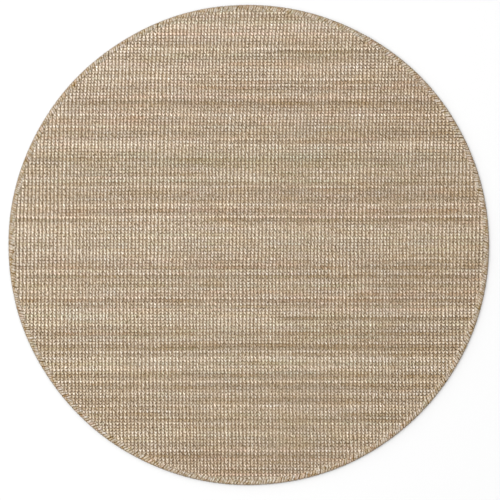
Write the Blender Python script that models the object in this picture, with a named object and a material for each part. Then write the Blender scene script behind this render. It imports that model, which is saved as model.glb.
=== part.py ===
"""Round jute rug: a ribbed hand-woven disc with its cut rim whipped over in jute yarn.

Metres, +Z up. The rug lies flat on z = 0 with the middle of its outline at the origin, and the
ribs of the weave run along Y.
"""

import math

import bmesh
import bpy

# The whole rug
RUG_RADIUS = 0.750
OUTLINE_STEPS = 180        # straight runs in one turn of an outline
JOIN_GAP = 0.0003          # between the cloth and the whipping round it
SNAP = 0.00005             # a rib line this close to a corner of the outline runs through it

# The rim is cut by hand, so it swells and shrinks in low waves.
# Columns: waves in one turn, height of a wave, angle of a crest in degrees
RIM_WAVES = (
    (2, 0.00049, 13.0),
    (3, 0.00011, 87.0),
    (4, 0.00020, 27.0),
    (5, 0.00028, 34.0),
    (6, 0.00023, 42.0),
    (7, 0.00021, 42.0),
    (11, 0.00020, 5.0),
    (12, 0.00020, 18.0),
)

# The woven field: warp ribs, pressed closer together and farther apart in wide bands
RIB_PITCH = 0.0112
RIB_PITCH_SWING = 0.055    # share of the pitch by which it grows and shrinks
RIB_BAND = 0.315           # from one band of wide ribs to the next
FIELD_VALLEY = 0.0066      # height of the cloth between two ribs
FIELD_CREST = 0.0096       # height of a rib
# Columns: place across a rib as a share of its pitch, height as a share of the rib's rise
RIB_SECTION = (
    (0.00, 0.00),
    (0.22, 0.74),
    (0.50, 1.00),
    (0.78, 0.74),
)

# The whipped edge, a C in section round the cloth's cut rim
EDGE_WIDTH = 0.018
EDGE_CREST = 0.0104
EDGE_LIP = 0.0088          # height of the inner end of the upper lip
EDGE_BULGE = 0.0048        # height of the outermost line
RIM_TOP = 0.0072           # upper and lower face of the cloth's pressed rim
RIM_BOTTOM = 0.0030
RIM_INSET = 0.0040         # thickness of the whipping outside the cut rim

FIELD_RADIUS = RUG_RADIUS - EDGE_WIDTH - JOIN_GAP
CUT_RADIUS = RUG_RADIUS - RIM_INSET - JOIN_GAP

JUTE_NATURAL = (0.456, 0.356, 0.254)
JUTE_WARM = (0.445, 0.335, 0.225)


def rim_wave(angle):
    """Distance by which the rim stands out of the true circle at an angle."""
    return sum(
        height * math.cos(waves * (angle - math.radians(crest)))
        for waves, height, crest in RIM_WAVES
    )


def outline_middle():
    """Middle of the box round the waved outline."""
    xs, ys = [], []
    for step in range(OUTLINE_STEPS):
        angle = math.tau * step / OUTLINE_STEPS
        radius = RUG_RADIUS + rim_wave(angle)
        xs.append(radius * math.cos(angle))
        ys.append(radius * math.sin(angle))
    return (max(xs) + min(xs)) / 2, (max(ys) + min(ys)) / 2


def wave_outline(verts):
    """Move round outlines in or out to the rug's own outline."""
    middle_x, middle_y = outline_middle()
    for vert in verts:
        angle = math.atan2(vert.co.y, vert.co.x)
        radius = math.hypot(vert.co.x, vert.co.y) + rim_wave(angle)
        vert.co.x = radius * math.cos(angle) - middle_x
        vert.co.y = radius * math.sin(angle) - middle_y


def rib_lines():
    """Lines across the field where the rib section turns: (x, height), left to right."""
    lines = []
    valley_x = -RUG_RADIUS
    while valley_x < RUG_RADIUS:
        band = math.cos(math.tau * valley_x / RIB_BAND)
        pitch = RIB_PITCH * (1 + RIB_PITCH_SWING * band)
        for place, rise in RIB_SECTION:
            height = FIELD_VALLEY + (FIELD_CREST - FIELD_VALLEY) * rise
            lines.append((valley_x + pitch * place, height))
        valley_x += pitch
    lines.append((valley_x, FIELD_VALLEY))
    return lines


def rib_height(lines, x):
    """Height of the ribbed face at x, straight between two lines."""
    for (left_x, left_z), (right_x, right_z) in zip(lines, lines[1:]):
        if left_x <= x <= right_x:
            return left_z + (right_z - left_z) * (x - left_x) / (right_x - left_x)
    return FIELD_VALLEY


def circle_edges(bm, radius, height):
    """A waved circle of edges at a height."""
    ring = bmesh.ops.create_circle(bm, segments=OUTLINE_STEPS, radius=radius)["verts"]
    wave_outline(ring)
    for vert in ring:
        vert.co.z = height
    return list({edge for vert in ring for edge in vert.link_edges})


def carry_down(bm, edges, height, inward=0.0):
    """Extrude a ring of edges to a lower height, and in towards the middle. Gives the new ring."""
    added = bmesh.ops.extrude_edge_only(bm, edges=edges)["geom"]
    for vert in added:
        if isinstance(vert, bmesh.types.BMVert):
            vert.co -= vert.co.xy.normalized().to_3d() * inward
            vert.co.z = height
    return [edge for edge in added if isinstance(edge, bmesh.types.BMEdge) and edge.is_boundary]


def jute_material(name, colour, roughness):
    material = bpy.data.materials.new(name)
    material.use_nodes = True
    shader = material.node_tree.nodes["Principled BSDF"]
    shader.inputs["Base Color"].default_value = (*colour, 1.0)
    shader.inputs["Roughness"].default_value = roughness
    shader.inputs["Metallic"].default_value = 0.0
    return material


def add_object(name, bm, material):
    bmesh.ops.recalc_face_normals(bm, faces=bm.faces)
    mesh = bpy.data.meshes.new(name)
    bm.to_mesh(mesh)
    bm.free()
    mesh.materials.append(material)
    obj = bpy.data.objects.new(name, mesh)
    bpy.context.scene.collection.objects.link(obj)
    return obj


def make_woven_field():
    """The cloth: ribbed on top, flat below, with a thinner pressed rim inside the whipping."""
    bm = bmesh.new()
    top_ring = bmesh.ops.create_circle(
        bm, cap_ends=True, segments=OUTLINE_STEPS, radius=FIELD_RADIUS
    )["verts"]
    wave_outline(top_ring)
    lines = rib_lines()
    for x, _ in lines:
        bmesh.ops.bisect_plane(
            bm, geom=bm.verts[:] + bm.edges[:] + bm.faces[:],
            plane_co=(x, 0, 0), plane_no=(1, 0, 0), dist=SNAP,
        )
    for vert in bm.verts:
        vert.co.z = rib_height(lines, vert.co.x)

    # Round wall from the ribbed face down to the pressed rim
    wall_foot = carry_down(bm, [edge for edge in bm.edges if edge.is_boundary], RIM_TOP)

    # Upper face of the pressed rim, out to where the cloth is cut
    cut_line = circle_edges(bm, CUT_RADIUS, RIM_TOP)
    bmesh.ops.triangle_fill(bm, use_beauty=True, use_dissolve=False, edges=wall_foot + cut_line)

    # Down the cut, back in under the rim, down to the floor, and across the underside
    under_line = carry_down(bm, cut_line, RIM_BOTTOM)
    inner_line = carry_down(bm, under_line, RIM_BOTTOM, inward=CUT_RADIUS - FIELD_RADIUS)
    floor_line = carry_down(bm, inner_line, 0.0)
    bmesh.ops.edgeloop_fill(bm, edges=floor_line)
    return add_object("woven_field", bm, jute_material("jute cloth", JUTE_NATURAL, 0.9))


def edge_section():
    """Section of the whipping as (distance in from the rim, height), round its outline."""
    channel_top = RIM_TOP + JOIN_GAP
    channel_bottom = RIM_BOTTOM - JOIN_GAP
    crest_in = EDGE_WIDTH * 0.56
    return (
        (EDGE_WIDTH, 0.0),
        (EDGE_BULGE, 0.0),
        (EDGE_BULGE * 0.30, EDGE_BULGE * 0.30),
        (0.0, EDGE_BULGE),
        (EDGE_BULGE * 0.16, EDGE_CREST * 0.70),
        (EDGE_BULGE * 0.75, EDGE_CREST * 0.92),
        (crest_in, EDGE_CREST),
        (EDGE_WIDTH * 0.84, EDGE_CREST * 0.95),
        (EDGE_WIDTH, EDGE_LIP),
        (EDGE_WIDTH, channel_top),
        (RIM_INSET, channel_top),
        (RIM_INSET, channel_bottom),
        (EDGE_WIDTH, channel_bottom),
    )


def make_whipped_edge():
    """The yarn sewn over and over the rim, as one ring that holds the cloth's cut edge."""
    bm = bmesh.new()
    section = [bm.verts.new((RUG_RADIUS - inward, 0, z)) for inward, z in edge_section()]
    sides = [bm.edges.new(pair) for pair in zip(section, section[1:] + section[:1])]
    bmesh.ops.spin(
        bm, geom=section + sides, cent=(0, 0, 0), axis=(0, 0, 1),
        angle=math.tau, steps=OUTLINE_STEPS, use_merge=True,
    )
    wave_outline(bm.verts)
    return add_object("whipped_edge", bm, jute_material("jute whipping", JUTE_WARM, 0.9))


for old_object in list(bpy.data.objects):
    bpy.data.objects.remove(old_object, do_unlink=True)

make_woven_field()
make_whipped_edge()
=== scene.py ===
import math

import bmesh
import bpy
import numpy as np
from mathutils import Matrix, Vector


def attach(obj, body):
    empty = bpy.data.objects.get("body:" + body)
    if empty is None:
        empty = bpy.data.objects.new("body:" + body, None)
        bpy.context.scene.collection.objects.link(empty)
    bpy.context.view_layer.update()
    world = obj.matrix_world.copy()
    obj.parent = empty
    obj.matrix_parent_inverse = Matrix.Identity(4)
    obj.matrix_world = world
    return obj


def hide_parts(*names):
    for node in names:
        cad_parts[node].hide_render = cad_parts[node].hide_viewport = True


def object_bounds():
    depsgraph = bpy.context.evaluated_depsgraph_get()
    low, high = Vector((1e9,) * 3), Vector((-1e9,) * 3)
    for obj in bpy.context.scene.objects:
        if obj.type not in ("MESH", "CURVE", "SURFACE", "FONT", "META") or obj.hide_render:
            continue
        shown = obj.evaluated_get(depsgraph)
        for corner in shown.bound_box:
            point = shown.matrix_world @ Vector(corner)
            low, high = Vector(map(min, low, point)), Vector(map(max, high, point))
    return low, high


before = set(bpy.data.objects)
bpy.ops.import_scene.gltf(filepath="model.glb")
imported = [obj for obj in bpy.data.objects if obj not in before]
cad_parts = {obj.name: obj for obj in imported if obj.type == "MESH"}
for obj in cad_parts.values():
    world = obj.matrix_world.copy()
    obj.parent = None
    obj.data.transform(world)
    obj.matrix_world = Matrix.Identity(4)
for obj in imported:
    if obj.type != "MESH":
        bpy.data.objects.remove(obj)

cad_low, cad_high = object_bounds()


# ---- Weft picks -----------------------------------------------------------------------------
# The face of the rug: thick two-ply jute yarns side by side across the loom, each raised in a
# small loop between every two warps. The loops stand in columns and read as beads. The picks
# are in bands, each band its own piece, and run under the whipping at both ends.

MM = 0.001
RIB_PITCH = 11.2 * MM          # from one column of loops to the next
RIB_PITCH_SWING = 0.055        # share by which the columns widen and narrow
RIB_BAND = 315 * MM            # from one band of wide columns to the next
PICK_PITCH = 9.35 * MM         # from one pick to the next
PICKS = 158
BANDS = 6
FIRST_DIP = -780 * MM          # the columns are laid out from here
LAST_DIP = 790 * MM            # until they reach past here
COLUMN_SKEW = 0.017            # slope of the warps against the picks at the rug's middle
COLUMN_BOW = 0.0225            # half of what that slope gains in each metre up

# One loop along the yarn. Columns: place across the column as a share of its pitch, height of
# the yarn's top, height where the yarn is widest, width as a share of the pick pitch, and how
# far up the warp it lies as a share of the lean
LOOP = (
    (0.00, 5.3 * MM, 4.2 * MM, 1.02, 0.97),
    (0.17, 7.6 * MM, 5.4 * MM, 1.12, 0.70),
    (0.38, 9.9 * MM, 6.4 * MM, 1.02, -0.52),
    (0.62, 9.9 * MM, 6.4 * MM, 0.97, -0.88),
    (0.83, 7.6 * MM, 5.4 * MM, 0.92, 0.23),
)
YARN_SECTION = (195, 140, 90, 40, -15)     # angles of the points round a pick, flat underneath

COLUMN_JITTER = 0.04           # share by which single columns are wide or narrow
COLUMN_LIFT = 0.12 * MM        # and how much higher or lower a whole column stands
SHIFT_ALONG = 0.7 * MM         # unevenness from loop to loop: along the pick, across it,
SHIFT_ACROSS = 0.25 * MM       # upwards, and in size
LOOP_LIFT = 0.25 * MM
LOOP_SWELL = 0.05
DIP_SHIFT = 0.5 * MM           # and where a pick passes under its warp
DIP_DEPTH = 0.2 * MM
DIP_REACH = 0.34               # share of the column over which a dip's shift fades out
LEAN = 3.2 * MM                # a loop's left end lies this far up the warp, its right end down
LEAN_SPREAD = 0.7 * MM
COLUMN_WANDER = 1.3 * MM       # slow drift of the columns and of the picks,
PICK_WANDER = 2.0 * MM
COLUMN_QUIVER = 0.65 * MM      # and the quicker one on top of it
PICK_QUIVER = 0.7 * MM
# Over what lengths along and across the picks these change
LEAN_CELL = (80 * MM, 50 * MM)
COLUMN_WANDER_CELL = (260 * MM, 90 * MM)
COLUMN_QUIVER_CELL = (40 * MM, 40 * MM)
PICK_WANDER_CELL = (300 * MM, 160 * MM)
PICK_QUIVER_CELL = (90 * MM, 30 * MM)
SLUB = 0.07                    # thick and thin stretches of the hand-spun yarn
SLUB_LENGTH = 70 * MM          # and how long they are

PICK_DRAW = 76875              # this draw puts light and dark picks much where the rug has them
TONE_OF_PICK = 0.13            # how much the yarns of two picks differ in lightness
TONE_OF_LOOP = 0.035           # and two loops of one yarn
TONE_ALONG = 0.05              # how much one yarn changes along its length
TONE_LENGTH = 260 * MM         # and over what length
TONE_OF_BAND = 0.01            # how much whole bands of picks differ
BAND_SIZE = (900 * MM, 70 * MM)    # and how large they are, along and across the picks
TONE_OF_RIM = 0.12             # how much lighter the picks are near the outline
RIM_TONE_START = 20 * MM       # in from the outline, where this starts to fade
RIM_TONE_END = 32 * MM
PAINTED_LIGHT_PER_M = 0.12            # painted light: how much lighter the picks are painted for each metre towards the window
WINDOW_SIDE = math.radians(140)    # where that is, turned from the right
HUE_OF_PICK = 0.28             # spread of the hue from pick to pick,
HUE_OF_BALE = 0.6              # from one bale of jute to the next
BALE_SIZE = (1200 * MM, 55 * MM)   # of the cloth woven from one bale, along and across them
HUE_ALONG = 0.3                # and along one yarn
HUE_LENGTH = 120 * MM          # and over what length
STREAK_FADE = 60 * MM          # length over which a streak fades past its ends
# The picks whose tone shows most. Columns: height above the rug's middle, where the streak
# starts and ends to the right of the middle, and how much lighter or darker it is
STREAKS = (
    (665 * MM, -180 * MM, 160 * MM, 0.13),
    (627 * MM, -350 * MM, 100 * MM, -0.15),
    (603 * MM, 90 * MM, 380 * MM, -0.30),
    (506 * MM, -500 * MM, -230 * MM, 0.15),
    (489 * MM, -130 * MM, 470 * MM, -0.17),
    (331 * MM, -370 * MM, 130 * MM, 0.16),
    (322 * MM, -100 * MM, 370 * MM, -0.20),
    (265 * MM, -700 * MM, -360 * MM, -0.18),
    (172 * MM, 10 * MM, 420 * MM, -0.22),
    (150 * MM, 320 * MM, 710 * MM, -0.18),
    (78 * MM, -460 * MM, -150 * MM, 0.12),
    (-67 * MM, -710 * MM, -460 * MM, -0.15),
    (-120 * MM, 0 * MM, 260 * MM, 0.16),
    (-150 * MM, 0 * MM, 260 * MM, -0.15),
    (-161 * MM, -620 * MM, 290 * MM, 0.18),
    (-187 * MM, 120 * MM, 470 * MM, -0.15),
    (-229 * MM, -690 * MM, 60 * MM, 0.15),
    (-359 * MM, -620 * MM, -360 * MM, 0.14),
    (-411 * MM, -620 * MM, 600 * MM, -0.30),
    (-509 * MM, -550 * MM, -190 * MM, -0.16),
    (-525 * MM, -100 * MM, 260 * MM, 0.12),
)

WHIP_WIDTH = 18 * MM           # of the rim that the whipping covers and presses
PRESS_START = 14.5 * MM        # in from the outline, where the cloth starts to swell again
PRESS_END = 17.0 * MM
PRESS_BASE = 3.8 * MM
PRESS_SCALE = 0.31
CUT_INSET = 2.8 * MM           # from the outline to where the picks are cut
MAP_MARGIN = 0.02              # kept free on each side of a yarn's strip in the bake map
CAP_SHIFT = 0.004              # from a strip's end to the middle of its cut end in the map

whip_points = np.array([v.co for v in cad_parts["whipped_edge"].data.vertices])
BULGE_LINE = 4.8 * MM          # height of the outermost line of the rim in the frame
SAME_LINE = 0.05 * MM          # points closer to a line than this lie on it
outermost = whip_points[np.abs(whip_points[:, 2] - BULGE_LINE) < SAME_LINE]
rim_angles = np.arctan2(outermost[:, 1], outermost[:, 0])
rim_order = np.argsort(rim_angles)
rim_angles = rim_angles[rim_order]
rim_radii = np.hypot(outermost[:, 0], outermost[:, 1])[rim_order]


def rim_radius(angle):
    """Radius of the rug's own outline at an angle."""
    return np.interp(angle, rim_angles, rim_radii, period=math.tau)


def inside_rim(x, y):
    """Distance from the outline in to a point."""
    return rim_radius(np.arctan2(y, x)) - np.hypot(x, y)


def smooth_step(value, low, high):
    """From 0 at the low value to 1 at the high one, easing in and out."""
    share = np.clip((value - low) / (high - low), 0, 1)
    return share * share * (3 - 2 * share)


def drift(x, y, cell_x, cell_y, seed):
    """Smooth random values from -1 to 1 that change over cells of this size."""
    side = 96
    table = np.random.default_rng(seed).uniform(-1, 1, (side, side))
    u, v = x / cell_x, y / cell_y
    low_u, low_v = np.floor(u).astype(int), np.floor(v).astype(int)
    share_u = smooth_step(u - low_u, 0, 1)
    share_v = smooth_step(v - low_v, 0, 1)

    def corner(step_u, step_v):
        return table[(low_u + step_u) % side, (low_v + step_v) % side]

    below = corner(0, 0) * (1 - share_u) + corner(1, 0) * share_u
    above = corner(0, 1) * (1 - share_u) + corner(1, 1) * share_u
    return below * (1 - share_v) + above * share_v


def pressed(x, y, z):
    """Heights of points of the cloth, less where the whipping presses its rim."""
    free = smooth_step(inside_rim(x, y), PRESS_START, PRESS_END)
    return z * free + (PRESS_BASE + PRESS_SCALE * z) * (1 - free)


def column_lines():
    """The x of the dip between every two columns of loops."""
    rng = np.random.default_rng(6)
    lines = [FIRST_DIP]
    while lines[-1] < LAST_DIP:
        band = math.cos(math.tau * lines[-1] / RIB_BAND)
        jitter = COLUMN_JITTER * rng.normal()
        lines.append(lines[-1] + RIB_PITCH * (1 + RIB_PITCH_SWING * band + jitter))
    return np.array(lines)


dips = column_lines()
loop_place, loop_top, loop_middle, loop_width, loop_sway = np.array(LOOP).T
RINGS_PER_LOOP = len(LOOP)
ring_x = (dips[:-1, None] + np.diff(dips)[:, None] * loop_place).ravel()


def yarn_sheet(bm, first, last, number, places):
    """A flat grid in weave units: x counts rings, y is the yarn's number, z places round it."""
    rings = last - first
    middle = Matrix.Translation(((first + last) / 2, number, places / 2))
    upright = Matrix.Rotation(math.radians(90), 4, "X")
    size = Matrix.Diagonal((rings / 2, places / 2, 1, 1))
    bmesh.ops.create_grid(
        bm, x_segments=rings, y_segments=places, size=1.0, matrix=middle @ upright @ size
    )


def roll_up(bm):
    """Join the two long sides of rolled sheets and close their ends."""
    bmesh.ops.remove_doubles(bm, verts=bm.verts, dist=1e-7)
    open_edges = [edge for edge in bm.edges if edge.is_boundary]
    caps = bmesh.ops.holes_fill(bm, edges=open_edges, sides=0)["faces"]
    bmesh.ops.recalc_face_normals(bm, faces=bm.faces)
    return caps


def corner_values(mesh, values):
    """Values of the vertices, one for each corner of each face."""
    corners = np.empty(len(mesh.loops), dtype=np.int32)
    mesh.loops.foreach_get("vertex_index", corners)
    return values[corners]


def add_map(mesh, name, u, v):
    """A UV map with these values at the corners."""
    layer = mesh.uv_layers.new(name=name)
    layer.data.foreach_set("uv", np.column_stack((u, v)).astype(np.float32).ravel())


def add_number(mesh, name, values):
    """A named number for each vertex, which a material can read."""
    layer = mesh.attributes.new(name=name, type="FLOAT", domain="POINT")
    layer.data.foreach_set("value", values.astype(np.float32))


def read_points(mesh):
    """Where the vertices are, one row each."""
    points = np.empty(len(mesh.vertices) * 3, dtype=np.float32)
    mesh.vertices.foreach_get("co", points)
    return points.reshape(-1, 3).astype(np.float64)


def move_points(mesh, points):
    """Put the vertices at these points."""
    mesh.vertices.foreach_set("co", points.astype(np.float32).ravel())


def add_piece(mesh):
    """An object of the scene with the mesh and its name."""
    piece = bpy.data.objects.new(mesh.name, mesh)
    bpy.context.scene.collection.objects.link(piece)
    return piece


def pick_y(pick):
    """Height of a pick's middle line above the rug's middle, in the plane of the cloth."""
    return (pick - (PICKS - 1) / 2) * PICK_PITCH


def column_bow(y):
    """How far the warps lean sideways over the rug's height: the cloth was cut a little askew."""
    return COLUMN_SKEW * y + COLUMN_BOW * y * y


def column_drift(x, y):
    """How far the warps have moved sideways at a place on the cloth."""
    slow = COLUMN_WANDER * drift(x, y, *COLUMN_WANDER_CELL, 13)
    quick = COLUMN_QUIVER * drift(x, y, *COLUMN_QUIVER_CELL, 14)
    return slow + quick + column_bow(y)


def yarn_tone(ring, pick):
    """How much lighter or darker than the rest a pick's yarn is at a place along it."""
    x, y = ring_x[ring], pick_y(pick)
    own = np.random.default_rng(PICK_DRAW).normal(0, 1, PICKS).clip(-2.2, 1.7)
    loops = np.random.default_rng(37).normal(0, 1, (PICKS, len(dips))).clip(-2, 2)
    tone = TONE_OF_PICK * own[pick] + TONE_OF_LOOP * loops[pick, ring // RINGS_PER_LOOP]
    tone += TONE_ALONG * drift(x, pick, TONE_LENGTH, 1, 32)
    tone += TONE_OF_BAND * drift(x, y, *BAND_SIZE, 33)
    tone += TONE_OF_RIM * (1 - smooth_step(inside_rim(x, y), RIM_TONE_START, RIM_TONE_END))
    # painted light: the picks are painted lighter towards the window
    tone += PAINTED_LIGHT_PER_M * (x * math.cos(WINDOW_SIDE) + y * math.sin(WINDOW_SIDE))
    for height, start, end, shift in STREAKS:
        row = np.clip(1 - np.abs(y - height) / PICK_PITCH, 0, 1)
        begun = smooth_step(x, start - STREAK_FADE, start)
        inside = begun * smooth_step(-x, -end - STREAK_FADE, -end)
        tone = tone * (1 - row * inside) + shift * row * inside
    return tone


def yarn_hue(x, pick):
    """Where a pick's yarn lies between olive, at -1, and pink, at 1."""
    own = np.random.default_rng(34).normal(0, 1, PICKS).clip(-2.25, 2.25)
    bale = drift(x, pick_y(pick), *BALE_SIZE, 35)
    along = drift(x, pick, HUE_LENGTH, 1, 36)
    return HUE_OF_PICK * own[pick] + HUE_OF_BALE * bale + HUE_ALONG * along


def weave(ring, pick, place):
    """Where a point of a pick lies in the finished cloth."""
    column, part = np.divmod(ring, RINGS_PER_LOOP)
    straight_x = ring_x[ring]
    straight_y = pick_y(pick)
    arch = np.sin(math.pi * loop_place)[part]
    rng = np.random.default_rng(7)
    loops = rng.normal(0, 1, (5, PICKS, len(dips))).clip(-2, 2)
    shift_x, shift_y, lift, swell, tip = loops[:, pick, column]
    lift_of_column = rng.normal(0, 1, len(dips))[column]
    under = rng.normal(0, 1, (3, PICKS, len(dips))).clip(-2, 2)
    left_share = np.clip(1 - loop_place / DIP_REACH, 0, 1)[part]
    right_share = np.clip(1 - (1 - loop_place) / DIP_REACH, 0, 1)[part]
    under = under[:, pick, column] * left_share + under[:, pick, column + 1] * right_share

    slub = SLUB * drift(straight_x, straight_y, SLUB_LENGTH, PICK_PITCH, 11)
    lean = LEAN + LEAN_SPREAD * (drift(straight_x, straight_y, *LEAN_CELL, 12) + 0.7 * tip)
    x = straight_x + SHIFT_ALONG * shift_x * arch + DIP_SHIFT * under[0]
    x += column_drift(straight_x, straight_y)
    middle_y = straight_y + SHIFT_ACROSS * (shift_y * arch + under[1]) + lean * loop_sway[part]
    middle_y += PICK_WANDER * drift(straight_x, straight_y, *PICK_WANDER_CELL, 15)
    middle_y += PICK_QUIVER * drift(straight_x, straight_y, *PICK_QUIVER_CELL, 16)

    half = PICK_PITCH / 2 * loop_width[part] * (1 + LOOP_SWELL * swell * arch + slub)
    middle_z = loop_middle[part]
    rise = (loop_top[part] - middle_z) * (1 + 0.5 * slub) + DIP_DEPTH * under[2]
    rise += (LOOP_LIFT * lift + COLUMN_LIFT * lift_of_column) * arch
    angle = np.radians(np.array(YARN_SECTION))[place % len(YARN_SECTION)]
    y = middle_y + half * np.cos(angle)
    z = middle_z + rise * np.sin(angle)
    return np.column_stack((x, y, pressed(x, y, z)))


def make_pick_band(name, picks):
    """One band of picks, laid out flat in weave units, woven in place and closed."""
    places = len(YARN_SECTION)
    bm = bmesh.new()
    for pick in picks:
        far_y = abs(pick_y(pick)) + PICK_PITCH / 2 + PICK_WANDER
        cut_radius = cad_high.x - CUT_INSET
        if far_y >= cut_radius:
            continue
        reach = math.sqrt(cut_radius ** 2 - far_y ** 2) - COLUMN_WANDER
        bowed = column_bow(pick_y(pick))
        first, last = np.searchsorted(ring_x, (-reach - bowed, reach - bowed))
        yarn_sheet(bm, int(first), int(last) - 1, pick, places)
    mesh = bpy.data.meshes.new(name)
    bm.to_mesh(mesh)

    ring, pick, place = np.rint(read_points(mesh)).astype(int).T
    woven = weave(ring, pick, place)
    u = (ring_x[ring] - ring_x[0]) / (ring_x[-1] - ring_x[0])
    strip = MAP_MARGIN + (1 - 2 * MAP_MARGIN) * place / places
    v = (pick - picks[0] + strip) / len(picks)
    add_map(mesh, "OFBake", corner_values(mesh, u), corner_values(mesh, v))
    add_map(mesh, "yarn", corner_values(mesh, ring_x[ring]), corner_values(mesh, place / places))
    add_number(mesh, "pick", pick)
    add_number(mesh, "tone", yarn_tone(ring, pick))
    add_number(mesh, "hue", yarn_hue(ring_x[ring], pick))
    move_points(mesh, woven)

    bm.clear()
    bm.from_mesh(mesh)
    caps = roll_up(bm)
    bake_map = bm.loops.layers.uv["OFBake"]
    for cap in caps:
        side = math.copysign(1, cap.calc_center_median().x)
        for corner in cap.loops:
            ring_u = 0.5 + corner.vert.co.x / (ring_x[-1] - ring_x[0])
            number = corner.vert[bm.verts.layers.float["pick"]] - picks[0]
            across, up = (corner.vert.co - cap.calc_center_median()).yz / PICK_PITCH
            corner[bake_map].uv = (
                ring_u + side * CAP_SHIFT * (1 + 0.5 * up),
                (number + 0.5 + 0.6 * across) / len(picks),
            )
    bm.to_mesh(mesh)
    bm.free()
    mesh.shade_smooth()
    return add_piece(mesh)


def add_node(tree, kind, inputs=(), **settings):
    """A shader node with its settings, and its inputs set or linked."""
    node = tree.nodes.new(kind)
    for key, value in settings.items():
        setattr(node, key, value)
    for key, value in dict(inputs).items():
        if isinstance(value, bpy.types.NodeSocket):
            tree.links.new(value, node.inputs[key])
        else:
            node.inputs[key].default_value = value
    return node


def do_math(tree, operation, *values):
    """The result of a math node."""
    return add_node(
        tree, "ShaderNodeMath", dict(enumerate(values)), operation=operation
    ).outputs[0]


def noise(tree, x, y, z, detail, roughness=0.5):
    """Noise from 0 to 1 at a place given by three numbers or sockets."""
    place = add_node(tree, "ShaderNodeCombineXYZ", {0: x, 1: y, 2: z}).outputs[0]
    return add_node(
        tree, "ShaderNodeTexNoise",
        {"Vector": place, "Scale": 1.0, "Detail": detail, "Roughness": roughness},
    ).outputs["Fac"]


def ramp(tree, value, stops):
    """A colour ramp with stops (place, colour)."""
    node = add_node(tree, "ShaderNodeValToRGB", {"Fac": value})
    elements = node.color_ramp.elements
    while len(elements) < len(stops):
        elements.new(0.5)
    for element, (place, colour) in zip(elements, stops):
        element.position = place
        element.color = (*colour, 1.0)
    return node.outputs["Color"]


def new_group(name, inputs, outputs):
    """An empty node group with its sockets, its input node and its output node."""
    group = bpy.data.node_groups.new(name, "ShaderNodeTree")
    for socket, default in inputs.items():
        made = group.interface.new_socket(socket, in_out="INPUT", socket_type="NodeSocketFloat")
        made.default_value = default
    for socket, kind in outputs.items():
        group.interface.new_socket(socket, in_out="OUTPUT", socket_type=kind)
    given = group.nodes.new("NodeGroupInput")
    result = group.nodes.new("NodeGroupOutput")
    return group, given, result


OLIVE = (0.600, 0.519, 0.368)
BEIGE = (0.622, 0.508, 0.371)
CREAM = (0.630, 0.515, 0.380)
PINK = (0.640, 0.485, 0.354)
PALING = (0.84, 1.00, 1.24)    # light yarn and painted highlights are paler as well, dark yarn and painted shade browner
PAINTED_DIP_SHADE = (0.272, 0.212, 0.148)   # painted shade: the colour as darkened down in the dips, where little light gets in
FULL = (1.0, 1.0, 1.0)         # the yarn's own colour, halfway up
CREST_HIGHLIGHT_AND_WEAR = (1.135, 1.27, 1.47)     # and on the crests: a painted highlight and sheen, with some bleaching by wear


def make_jute_colour():
    """Undyed jute: its colour drifts along each yarn, and every pick is its own yarn."""
    group, given, result = new_group(
        "jute colour",
        {"Along": 0.0, "Round": 0.0, "Yarn": 0.0, "Tone": 0.0, "Hue": 0.0, "Shade": 1.0},
        {"Color": "NodeSocketColor"},
    )
    along, yarn = given.outputs["Along"], given.outputs["Yarn"]
    # Hue: each yarn has its own, and it drifts over lengths of about 70 mm
    blotch = noise(group, do_math(group, "MULTIPLY", along, 14.0), yarn, 0.7, 2.0, 0.6)
    blotch = do_math(group, "MULTIPLY_ADD", blotch, 0.9, -0.45)
    place = do_math(group, "MULTIPLY_ADD", given.outputs["Hue"], 0.33, 0.5)
    colour = ramp(group, do_math(group, "ADD", place, blotch), (
        (0.10, OLIVE), (0.42, BEIGE), (0.62, CREAM), (0.92, PINK),
    ))
    # Lightness: the yarn's own tone, with tufts of a few millimetres in it; Tone and Shade also
    # carry painted light and shade
    tufts = noise(
        group, do_math(group, "MULTIPLY", along, 400.0),
        do_math(group, "MULTIPLY", yarn, 7.3),
        do_math(group, "MULTIPLY", given.outputs["Round"], 5.0), 0.0,
    )
    shade = add_node(group, "ShaderNodeMapRange", {
        "Value": tufts, "From Min": 0.25, "From Max": 0.75, "To Min": 0.7, "To Max": 1.3,
    }).outputs[0]
    tone = do_math(group, "ADD", given.outputs["Tone"], 1.0)
    light = do_math(group, "MULTIPLY", shade, tone)
    light = do_math(group, "MULTIPLY_ADD", light, given.outputs["Shade"], -1.0)
    light = add_node(
        group, "ShaderNodeVectorMath", {0: light, 1: PALING, 2: FULL}, operation="MULTIPLY_ADD"
    ).outputs[0]
    shaded = add_node(group, "ShaderNodeVectorMath", {0: colour, 1: light}, operation="MULTIPLY")
    # Strength: some lengths of yarn are greyer, others fuller in colour
    greyer = noise(
        group, do_math(group, "MULTIPLY", along, 8.0), do_math(group, "MULTIPLY", yarn, 0.6),
        5.3, 1.0,
    )
    strength = add_node(group, "ShaderNodeMapRange", {
        "Value": greyer, "From Min": 0.3, "From Max": 0.7, "To Min": 0.92, "To Max": 1.15,
    }).outputs[0]
    faded = add_node(
        group, "ShaderNodeHueSaturation", {"Saturation": strength, "Color": shaded.outputs[0]}
    )
    group.links.new(faded.outputs[0], result.inputs["Color"])
    return group


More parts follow.
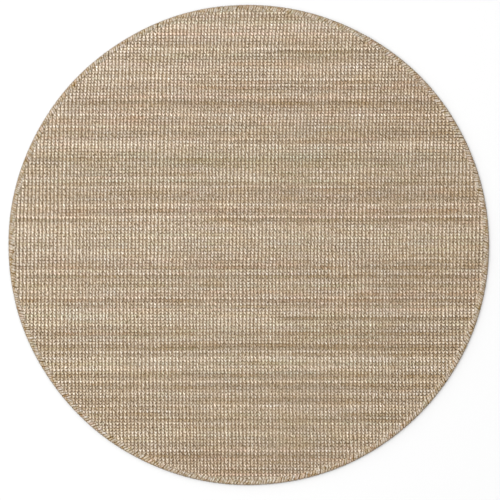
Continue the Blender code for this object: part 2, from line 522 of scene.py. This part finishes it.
def make_jute_fibres():
    """Relief of a two-ply yarn: the groove between the plies and the fine fibres along them."""
    group, given, result = new_group(
        "jute fibres",
        {"Along": 0.0, "Round": 0.0, "Yarn": 0.0, "Twist": 75.0},
        {"Height": "NodeSocketFloat", "Shade": "NodeSocketFloat"},
    )
    along, around = given.outputs["Along"], given.outputs["Round"]
    # The plies wind round the yarn, a little unevenly
    turn = do_math(group, "MULTIPLY", along, given.outputs["Twist"])
    phase = do_math(group, "ADD", turn, do_math(group, "MULTIPLY", around, 1.25))
    wound = noise(group, do_math(group, "MULTIPLY", along, 22.0), given.outputs["Yarn"], 2.1, 1.0)
    uneven = do_math(group, "MULTIPLY", given.outputs["Twist"], 0.023)
    phase = do_math(group, "MULTIPLY_ADD", wound, uneven, phase)
    wave = do_math(group, "SINE", do_math(group, "MULTIPLY", phase, math.pi))
    ply = do_math(group, "ABSOLUTE", wave)
    ply = do_math(group, "POWER", ply, 0.6)
    # Fine fibres lie along the plies
    strand = noise(
        group, do_math(group, "MULTIPLY", phase, 7.0), do_math(group, "MULTIPLY", along, 90.0),
        given.outputs["Yarn"], 3.0, 0.7,
    )
    height = do_math(group, "MULTIPLY_ADD", strand, 0.5, ply)
    fleck = add_node(group, "ShaderNodeMapRange", {
        "Value": strand, "From Min": 0.35, "From Max": 0.65, "To Min": 0.76, "To Max": 1.20,
    }).outputs[0]
    # Painted shade in the groove between the plies and a painted highlight on them, times the
    # fibres' own flecks
    groove = add_node(group, "ShaderNodeMapRange", {
        "Value": ply, "From Min": 0.0, "From Max": 0.8, "To Min": 0.42, "To Max": 1.20,
    }).outputs[0]
    group.links.new(height, result.inputs["Height"])
    group.links.new(do_math(group, "MULTIPLY", fleck, groove), result.inputs["Shade"])
    return group


jute_colour = make_jute_colour()
jute_fibres = make_jute_fibres()


def jute_material(name, yarn_number, twist, shade, depths, tint, dip_shade=PAINTED_DIP_SHADE):
    """Matt jute yarn, with painted shade down between the loops or stitches, where little light gets
    in.

    The depths are the heights of its painted shade, its own colour, and its painted crest highlight.
    """
    material = bpy.data.materials.new(name)
    material.use_nodes = True
    tree = material.node_tree
    shader = tree.nodes["Principled BSDF"]
    yarn_map = add_node(tree, "ShaderNodeUVMap", uv_map="yarn")
    split = add_node(tree, "ShaderNodeSeparateXYZ", {0: yarn_map.outputs[0]})
    number = add_node(tree, "ShaderNodeAttribute", attribute_name=yarn_number)
    tone = add_node(tree, "ShaderNodeAttribute", attribute_name="tone")
    hue = add_node(tree, "ShaderNodeAttribute", attribute_name="hue")
    colour = add_node(tree, "ShaderNodeGroup", node_tree=jute_colour)
    fibres = add_node(tree, "ShaderNodeGroup", node_tree=jute_fibres)
    tree.links.new(split.outputs["X"], colour.inputs["Along"])
    tree.links.new(split.outputs["Y"], colour.inputs["Round"])
    tree.links.new(number.outputs["Fac"], colour.inputs["Yarn"])
    tree.links.new(tone.outputs["Fac"], colour.inputs["Tone"])
    tree.links.new(hue.outputs["Fac"], colour.inputs["Hue"])
    tree.links.new(do_math(tree, "MULTIPLY", fibres.outputs["Shade"], shade), colour.inputs["Shade"])
    tree.links.new(split.outputs["X"], fibres.inputs["Along"])
    tree.links.new(split.outputs["Y"], fibres.inputs["Round"])
    tree.links.new(number.outputs["Fac"], fibres.inputs["Yarn"])
    fibres.inputs["Twist"].default_value = twist

    place = add_node(tree, "ShaderNodeTexCoord")
    height = add_node(tree, "ShaderNodeSeparateXYZ", {0: place.outputs["Object"]}).outputs["Z"]
    # Painted shade down in the dips and a painted highlight with some wear on the crests, set by
    # height
    sunk = add_node(tree, "ShaderNodeMapRange", {
        "Value": height, "From Min": depths[0], "From Max": depths[2],
    }).outputs[0]
    full_at = (depths[1] - depths[0]) / (depths[2] - depths[0])
    painted_shade_and_highlight = ramp(tree, sunk, ((0.0, dip_shade), (full_at, FULL), (1.0, CREST_HIGHLIGHT_AND_WEAR)))
    with_painted_light = add_node(
        tree, "ShaderNodeVectorMath",
        {0: colour.outputs["Color"], 1: painted_shade_and_highlight}, operation="MULTIPLY",
    )
    tinted = add_node(
        tree, "ShaderNodeVectorMath", {0: with_painted_light.outputs[0], 1: tint}, operation="MULTIPLY"
    )
    tree.links.new(tinted.outputs[0], shader.inputs["Base Color"])
    shader.inputs["Roughness"].default_value = 0.85
    shader.inputs["Specular IOR Level"].default_value = 0.25
    bump = add_node(tree, "ShaderNodeBump", {
        "Height": fibres.outputs["Height"], "Strength": 0.8, "Distance": 0.5 * MM,
    })
    tree.links.new(bump.outputs[0], shader.inputs["Normal"])
    return material


pick_yarn = jute_material(
    "pick yarn", "pick", twist=130.0, shade=1.0,
    depths=(5.0 * MM, 8.7 * MM, 10.3 * MM), tint=(0.981, 0.965, 0.960),
)

for band, picks in enumerate(np.array_split(np.arange(PICKS), BANDS)):
    piece = make_pick_band(f"weft_picks_{band + 1}", [int(pick) for pick in picks])
    piece.data.materials.append(pick_yarn)
    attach(piece, "root")
    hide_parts("woven_field")


# ---- Warps ----------------------------------------------------------------------------------
# Thin hard-twisted jute threads that run the length of the loom, one in each dip between two
# columns. They lie over the dipped picks and hold them down.

WARP_RADIUS = 0.6 * MM
WARP_HEIGHT = 5.0 * MM
WARP_SIDES = 5
WARP_STEP = 37 * MM            # from one ring of its points to the next
WARP_INSET = 3 * MM            # warps end this far short of the cut picks
WARP_MARGIN = 0.05             # kept free on each side of a warp's strip in the bake map


def warp_end(x, side):
    """How far up the rug, or down at side -1, a warp runs to its cut end."""
    reach = cad_high.x - CUT_INSET - WARP_INSET
    y = side * np.sqrt(reach ** 2 - x ** 2)
    for _ in range(4):
        y = side * np.sqrt(np.maximum(reach ** 2 - (x + column_bow(y)) ** 2, 0))
    return y


def make_warps():
    """One thread for each dip, laid out flat, then laid along its column and closed."""
    bm = bmesh.new()
    inner = [number for number, x in enumerate(dips) if abs(x) < cad_high.x - 2 * WHIP_WIDTH]
    lengths = warp_end(dips[inner], 1) - warp_end(dips[inner], -1)
    steps = np.maximum(2, np.rint(lengths / WARP_STEP)).astype(int)
    for number, count in zip(inner, steps):
        yarn_sheet(bm, 0, int(count), number, WARP_SIDES)
    mesh = bpy.data.meshes.new("warps")
    bm.to_mesh(mesh)
    ring, number, place = np.rint(read_points(mesh)).astype(int).T
    low_end, high_end = warp_end(dips[number], -1), warp_end(dips[number], 1)
    along = low_end + (high_end - low_end) * ring / steps[number - inner[0]]
    angle = math.tau * place / WARP_SIDES
    x = dips[number] + WARP_RADIUS * np.cos(angle) + column_drift(dips[number], along)
    z = pressed(x, along, WARP_HEIGHT + WARP_RADIUS * np.sin(angle))
    strip = WARP_MARGIN + (1 - 2 * WARP_MARGIN) * place / WARP_SIDES
    u = (number - inner[0] + strip) / len(inner)
    v = 0.5 + along / (2 * cad_high.x)
    add_map(mesh, "OFBake", corner_values(mesh, u), corner_values(mesh, v))
    add_map(mesh, "yarn", corner_values(mesh, along), corner_values(mesh, place / WARP_SIDES))
    add_number(mesh, "warp", number)
    move_points(mesh, np.column_stack((x, along, z)))
    bm.clear()
    bm.from_mesh(mesh)
    roll_up(bm)
    bm.to_mesh(mesh)
    bm.free()
    mesh.shade_smooth()
    return add_piece(mesh)


warp_yarn = jute_material(
    "warp yarn", "warp", twist=160.0, shade=0.62,
    depths=(0.0, 1.0 * MM, 11 * MM), tint=(1.0, 0.95, 0.88),
)
warps = make_warps()
warps.data.materials.append(warp_yarn)
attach(warps, "root")
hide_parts("woven_field")


# ---- Back of the cloth ----------------------------------------------------------------------
# The underside, where the picks lie flat between the warps. It is one thin ribbed sheet that
# carries the loops, pressed thin at the cut rim, which the whipping closes in.

BACK_TOP = 3.9 * MM
BACK_CREST = 0.2 * MM          # lowest line of a pick on the underside
BACK_VALLEY = 1.5 * MM
BACK_RIM_TOP = 3.6 * MM
BACK_RIM_BOTTOM = 3.1 * MM
BACK_SHOULDER = 3 * MM         # width of the slope up from the pressed rim
BACK_GAP = 0.5 * MM            # between the ribs of the underside and the whipping
BACK_STEPS = 180
# Columns: place across a pick as a share of the pitch, height as a share of the rib's depth
BACK_RIB = ((0.0, 1.0), (0.22, 0.28), (0.5, 0.0), (0.78, 0.28))


def carry(bm, edges, height, inward=0.0):
    """Extrude a ring of edges to another height, and in towards the middle."""
    added = bmesh.ops.extrude_edge_only(bm, edges=edges)["geom"]
    for vert in added:
        if isinstance(vert, bmesh.types.BMVert):
            vert.co -= vert.co.xy.normalized().to_3d() * inward
            vert.co.z = height
    return [edge for edge in added if isinstance(edge, bmesh.types.BMEdge) and edge.is_boundary]


def make_back():
    """A disc cut along the ribs, with its pressed rim and a flat upper side."""
    bm = bmesh.new()
    field_radius = cad_high.x - WHIP_WIDTH - BACK_GAP
    ring = bmesh.ops.create_circle(
        bm, cap_ends=True, segments=BACK_STEPS, radius=field_radius
    )["verts"]
    lines, heights = [], []
    for pick in range(-1, PICKS + 1):
        for place, rise in BACK_RIB:
            lines.append(pick_y(pick - 0.5 + place))
            heights.append(BACK_CREST + (BACK_VALLEY - BACK_CREST) * rise)
    for y in lines:
        bmesh.ops.bisect_plane(
            bm, geom=bm.verts[:] + bm.edges[:] + bm.faces[:],
            plane_co=(0, y, 0), plane_no=(0, 1, 0), dist=SAME_LINE,
        )
    for vert in bm.verts:
        vert.co.z = np.interp(vert.co.y, lines, heights)
    wall_top = carry(bm, [edge for edge in bm.edges if edge.is_boundary], BACK_RIM_BOTTOM)
    reach = cad_high.x - CUT_INSET - field_radius
    cut_low = carry(bm, wall_top, BACK_RIM_BOTTOM, inward=-reach)
    cut_high = carry(bm, cut_low, BACK_RIM_TOP)
    inner = carry(bm, cut_high, BACK_RIM_TOP, inward=reach)
    top_line = carry(bm, inner, BACK_TOP, inward=BACK_SHOULDER)
    bmesh.ops.edgeloop_fill(bm, edges=top_line)
    bmesh.ops.recalc_face_normals(bm, faces=bm.faces)
    mesh = bpy.data.meshes.new("cloth_back")
    bm.to_mesh(mesh)
    bm.free()
    points = read_points(mesh)
    rows = points[:, 1] / PICK_PITCH
    add_map(mesh, "yarn", corner_values(mesh, points[:, 0]), corner_values(mesh, rows))
    add_number(mesh, "pick", np.rint(rows))
    mesh.set_sharp_from_angle(angle=math.radians(50))
    return add_piece(mesh)


back_yarn = jute_material(
    "back yarn", "pick", twist=75.0, shade=0.8,
    depths=(3.9 * MM, 2.0 * MM, -8 * MM), tint=(1.0, 0.97, 0.92),
)
cloth_back = make_back()
cloth_back.data.materials.append(back_yarn)
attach(cloth_back, "root")
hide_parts("woven_field")


# ---- Whipped edge ---------------------------------------------------------------------------
# One jute yarn sewn over and over the cut rim. Every turn goes up through the cloth, over the
# rim and back underneath, one stitch further on, so the stitches lean.

STITCHES = 575
STITCH_SPREAD = 0.27           # how unevenly they are spaced
# One turn of the yarn's middle line. Columns: distance in from the outline, height, and how
# much of the step to the next stitch is taken by then: the stitches lean on the face alone
TURN = (
    (18.6 * MM, 6.8 * MM, 0.00),
    (17.6 * MM, 8.6 * MM, 0.05),
    (14.4 * MM, 9.0 * MM, 0.28),
    (9.8 * MM, 8.6 * MM, 0.55),
    (5.2 * MM, 8.1 * MM, 0.84),
    (2.3 * MM, 7.0 * MM, 0.98),
    (1.5 * MM, 4.9 * MM, 1.00),
    (2.3 * MM, 2.8 * MM, 1.00),
    (6.2 * MM, 2.0 * MM, 1.00),
    (12.5 * MM, 1.95 * MM, 1.00),
    (17.2 * MM, 2.1 * MM, 1.00),
    (18.4 * MM, 3.6 * MM, 1.00),
)
WHIP_SIDES = 6
WHIP_THICKNESS = 1.45 * MM
THICKNESS_SPREAD = 0.08        # how uneven that is, as a share
WHIP_OVERLAP = 1.02            # the stitches touch: width as a share of the room for each
BITE_SPREAD = 1.6 * MM         # how unevenly far in they are sewn
SLIP = 0.06                    # and how far they slip along the rim, as a share of the step
TONE_OF_STITCH = 0.07          # how much two stitches differ in lightness
TONE_OF_STRETCH = 0.02         # and two stretches of the rim
STRETCH = 11                   # stitches in a stretch
WHIP_HUE = 0.1                 # where the yarn lies between olive and pink
WHIP_HUE_SPREAD = 0.5          # and how far stitches and stretches lie from there
PAINTED_SHADE_BETWEEN = 0.58            # painted shade: how much darker the yarn is where two stitches touch
BETWEEN_SPREAD = 0.50          # and how unevenly, from one gap to the next
PAINTED_LIGHT_INSIDE = 0.08             # painted light: how much lighter towards the cloth, where the stitches are pulled tight and catch the light
INSIDE_START = 8 * MM          # in from the outline, where the stitches start to show that
INSIDE_END = 18 * MM
WHIP_PAINTED_SHADE = (0.42, 0.46, 0.53)     # painted shade low on the rim, darker and greyer
STITCH_ROWS = 8                # rows of stitches in the bake map
STITCH_SIDE_MARGIN = 0.03      # kept free beside a stitch's strip in the bake map,
STITCH_END_MARGIN = 0.01       # and at its ends
TURN_LENGTH = 52 * MM          # yarn in one turn, for its twist
turn_inward, turn_height, turn_advance = np.array(TURN).T
RINGS_PER_TURN = len(TURN)


def restless(values):
    """Random values changed to differ from one stitch to the next, but little in the long run."""
    return values - (np.roll(values, 1) + np.roll(values, -1)) / 2


def make_whipping():
    """A ribbon of yarn laid out flat, wound round the rim turn by turn and closed to a ring."""
    bm = bmesh.new()
    yarn_sheet(bm, 0, STITCHES * RINGS_PER_TURN, 0, WHIP_SIDES)
    mesh = bpy.data.meshes.new("whipping")
    bm.to_mesh(mesh)
    ring, _, place = np.rint(read_points(mesh)).astype(int).T
    turn, part = np.divmod(ring, RINGS_PER_TURN)
    turn = turn % STITCHES
    rng = np.random.default_rng(23)
    stitches = rng.normal(0, 1, (5, STITCHES)).clip(-2, 2)
    stitches[4] = restless(stitches[4])
    bite, own_hue, proud, slip, own_tone = stitches[:, turn]
    gaps = rng.normal(1, STITCH_SPREAD, STITCHES).clip(0.6, 1.5)
    gaps *= math.tau / gaps.sum()
    starts = np.cumsum(gaps) - gaps

    # The section of a turn, in a plane that turns round the rug
    inner_share = smooth_step(turn_inward[part], INSIDE_START, INSIDE_END)
    inward = turn_inward[part] + BITE_SPREAD * bite * inner_share
    height = turn_height[part]
    before = (part - 1) % RINGS_PER_TURN
    after = (part + 1) % RINGS_PER_TURN
    run_in = turn_inward[after] - turn_inward[before]
    run_up = turn_height[after] - turn_height[before]
    length = np.hypot(run_in, run_up)
    out_in, out_up = run_up / length, -run_in / length
    thickness = WHIP_THICKNESS * (1 + THICKNESS_SPREAD * proud)
    around = math.tau * place / WHIP_SIDES
    inward = inward - thickness * np.sin(around) * out_in
    height = height + thickness * np.sin(around) * out_up

    # Where the turn lies round the rim, and the width of the yarn there
    advance = turn_advance[part]
    room_before = gaps[turn - 1] * (1 - advance) + gaps[turn] * advance
    room_after = gaps[turn] * (1 - advance) + gaps[(turn + 1) % STITCHES] * advance
    first_side = np.cos(around) > 0
    half_width = WHIP_OVERLAP * np.where(first_side, room_before, room_after) / 2
    slip_share = np.sin(math.pi * part / RINGS_PER_TURN)
    step = gaps[turn] * (advance + SLIP * slip * slip_share)
    angle = -(starts[turn] + step)
    middle_radius = rim_radius(angle) - inward
    angle = angle + half_width * np.cos(around)
    x = middle_radius * np.cos(angle)
    y = middle_radius * np.sin(angle)
    woven = np.column_stack((x, y, height))

    # A strip of the bake map for each stitch, in rows
    polygon_ring = corner_values(mesh, ring).reshape(-1, 4)
    face_turn = polygon_ring.min(axis=1) // RINGS_PER_TURN
    corner_turn = np.repeat(face_turn, 4)
    phase = corner_values(mesh, ring) / RINGS_PER_TURN - corner_turn
    side = corner_values(mesh, place) / WHIP_SIDES
    in_row = math.ceil(STITCHES / STITCH_ROWS)
    across = STITCH_SIDE_MARGIN + (1 - 2 * STITCH_SIDE_MARGIN) * side
    along = STITCH_END_MARGIN + (1 - 2 * STITCH_END_MARGIN) * phase
    u = (corner_turn % in_row + across) / in_row
    v = (corner_turn // in_row + along) / STITCH_ROWS
    add_map(mesh, "OFBake", u, v)
    add_map(mesh, "yarn", corner_values(mesh, ring) / RINGS_PER_TURN * TURN_LENGTH, side)
    add_number(mesh, "stitch", turn)

    # Lightness and hue; the lightness also holds painted light towards the cloth and painted shade
    # between the stitches
    warm = drift(turn, 0 * turn, STRETCH, 1, 25)
    # painted light: the stitches are painted lighter towards the cloth
    tone = TONE_OF_STITCH * own_tone - TONE_OF_STRETCH * warm + PAINTED_LIGHT_INSIDE * inner_share
    # Painted shade where two stitches touch, darker at some gaps than at others
    shade_unevenness = 1 + BETWEEN_SPREAD * restless(np.random.default_rng(26).normal(0, 1, STITCHES))
    between = PAINTED_SHADE_BETWEEN * shade_unevenness.clip(0.1, 1.6)[(turn - first_side) % STITCHES]
    add_number(mesh, "tone", tone - between * np.cos(around) ** 4)
    add_number(mesh, "hue", WHIP_HUE + WHIP_HUE_SPREAD * (own_hue + warm))
    move_points(mesh, woven)
    bm.clear()
    bm.from_mesh(mesh)
    roll_up(bm)
    bm.to_mesh(mesh)
    bm.free()
    mesh.shade_smooth()
    return add_piece(mesh)


whip_yarn = jute_material(
    "whipping yarn", "stitch", twist=60.0, shade=0.735,
    depths=(1.5 * MM, 9.0 * MM, 12 * MM), tint=(0.95, 0.975, 1.05), dip_shade=WHIP_PAINTED_SHADE,
)
whipping = make_whipping()
whipping.data.materials.append(whip_yarn)
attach(whipping, "root")
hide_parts("whipped_edge")


# ---- Floor, light and camera ----------------------------------------------------------------
# A white studio floor and white walls that are lighter on the window's side, a wide ceiling
# light and a soft lamp at the upper left. The camera looks straight down.

FLOOR_SIZE = 30.0
FLOOR_WHITE = 0.82
WALL_LIGHT = 0.78
WINDOW_SHARE = 0.35            # how much lighter the walls are on the window's side
CEILING_LIGHT = 1.05
CEILING_WIDTH = math.radians(110)
LAMP_POWER = 60.0
LAMP_SIZE = 2.9
LAMP_DISTANCE = 5.0
LAMP_SIDE = math.radians(155)
CEILING_HEIGHT = math.radians(60)
LAMP_HEIGHT = math.radians(55)

floor_bm = bmesh.new()
bmesh.ops.create_grid(floor_bm, x_segments=1, y_segments=1, size=FLOOR_SIZE / 2)
floor_mesh = bpy.data.meshes.new("floor")
floor_bm.to_mesh(floor_mesh)
floor_bm.free()
floor = add_piece(floor_mesh)
floor_paint = bpy.data.materials.new("floor paint")
floor_paint.use_nodes = True
floor_shader = floor_paint.node_tree.nodes["Principled BSDF"]
floor_shader.inputs["Base Color"].default_value = (FLOOR_WHITE, FLOOR_WHITE, FLOOR_WHITE, 1.0)
floor_shader.inputs["Roughness"].default_value = 1.0
floor_shader.inputs["Specular IOR Level"].default_value = 0.0
floor_mesh.materials.append(floor_paint)

world = bpy.data.worlds.new("white room")
world.use_nodes = True
world.node_tree.nodes["Background"].inputs["Color"].default_value = (1.0, 1.0, 1.0, 1.0)
window_side = (math.cos(WINDOW_SIDE), math.sin(WINDOW_SIDE), 0.0)
wall_place = add_node(world.node_tree, "ShaderNodeTexCoord")
facing = add_node(
    world.node_tree, "ShaderNodeVectorMath",
    {0: wall_place.outputs["Generated"], 1: window_side}, operation="DOT_PRODUCT",
).outputs["Value"]
wall_light = do_math(
    world.node_tree, "MULTIPLY_ADD", facing, WALL_LIGHT * WINDOW_SHARE, WALL_LIGHT
)
world.node_tree.links.new(wall_light, world.node_tree.nodes["Background"].inputs["Strength"])
bpy.context.scene.world = world

ceiling_data = bpy.data.lights.new("ceiling light", "SUN")
ceiling_data.energy = CEILING_LIGHT
ceiling_data.angle = CEILING_WIDTH
lamp_data = bpy.data.lights.new("lamp", "AREA")
lamp_data.energy = LAMP_POWER
lamp_data.size = LAMP_SIZE
for light_data, side, up in (
    (ceiling_data, WINDOW_SIDE, CEILING_HEIGHT),
    (lamp_data, LAMP_SIDE, LAMP_HEIGHT),
):
    toward_light = Vector((
        math.cos(up) * math.cos(side), math.cos(up) * math.sin(side), math.sin(up)
    ))
    light = bpy.data.objects.new(light_data.name, light_data)
    light.location = toward_light * LAMP_DISTANCE
    light.rotation_euler = toward_light.to_track_quat("Z", "Y").to_euler()
    bpy.context.scene.collection.objects.link(light)

PHOTO_SIZE = 500               # pixels
RUG_CENTRE_PX = (248.8, 245.0)
RUG_RADIUS_PX = 240.5
LENS = 85.0
SENSOR = 36.0
view_width = PHOTO_SIZE * (cad_high.x - cad_low.x) / 2 / RUG_RADIUS_PX
metres_per_px = view_width / PHOTO_SIZE
camera_data = bpy.data.cameras.new("camera")
camera_data.lens = LENS
camera_data.sensor_width = SENSOR
camera_data.clip_end = 100.0
camera = bpy.data.objects.new("camera", camera_data)
camera.location = (
    (PHOTO_SIZE / 2 - RUG_CENTRE_PX[0]) * metres_per_px,
    (RUG_CENTRE_PX[1] - PHOTO_SIZE / 2) * metres_per_px,
    view_width * LENS / SENSOR + BULGE_LINE,
)
bpy.context.scene.collection.objects.link(camera)
bpy.context.scene.camera = camera
bpy.context.scene.view_settings.view_transform = "Standard"
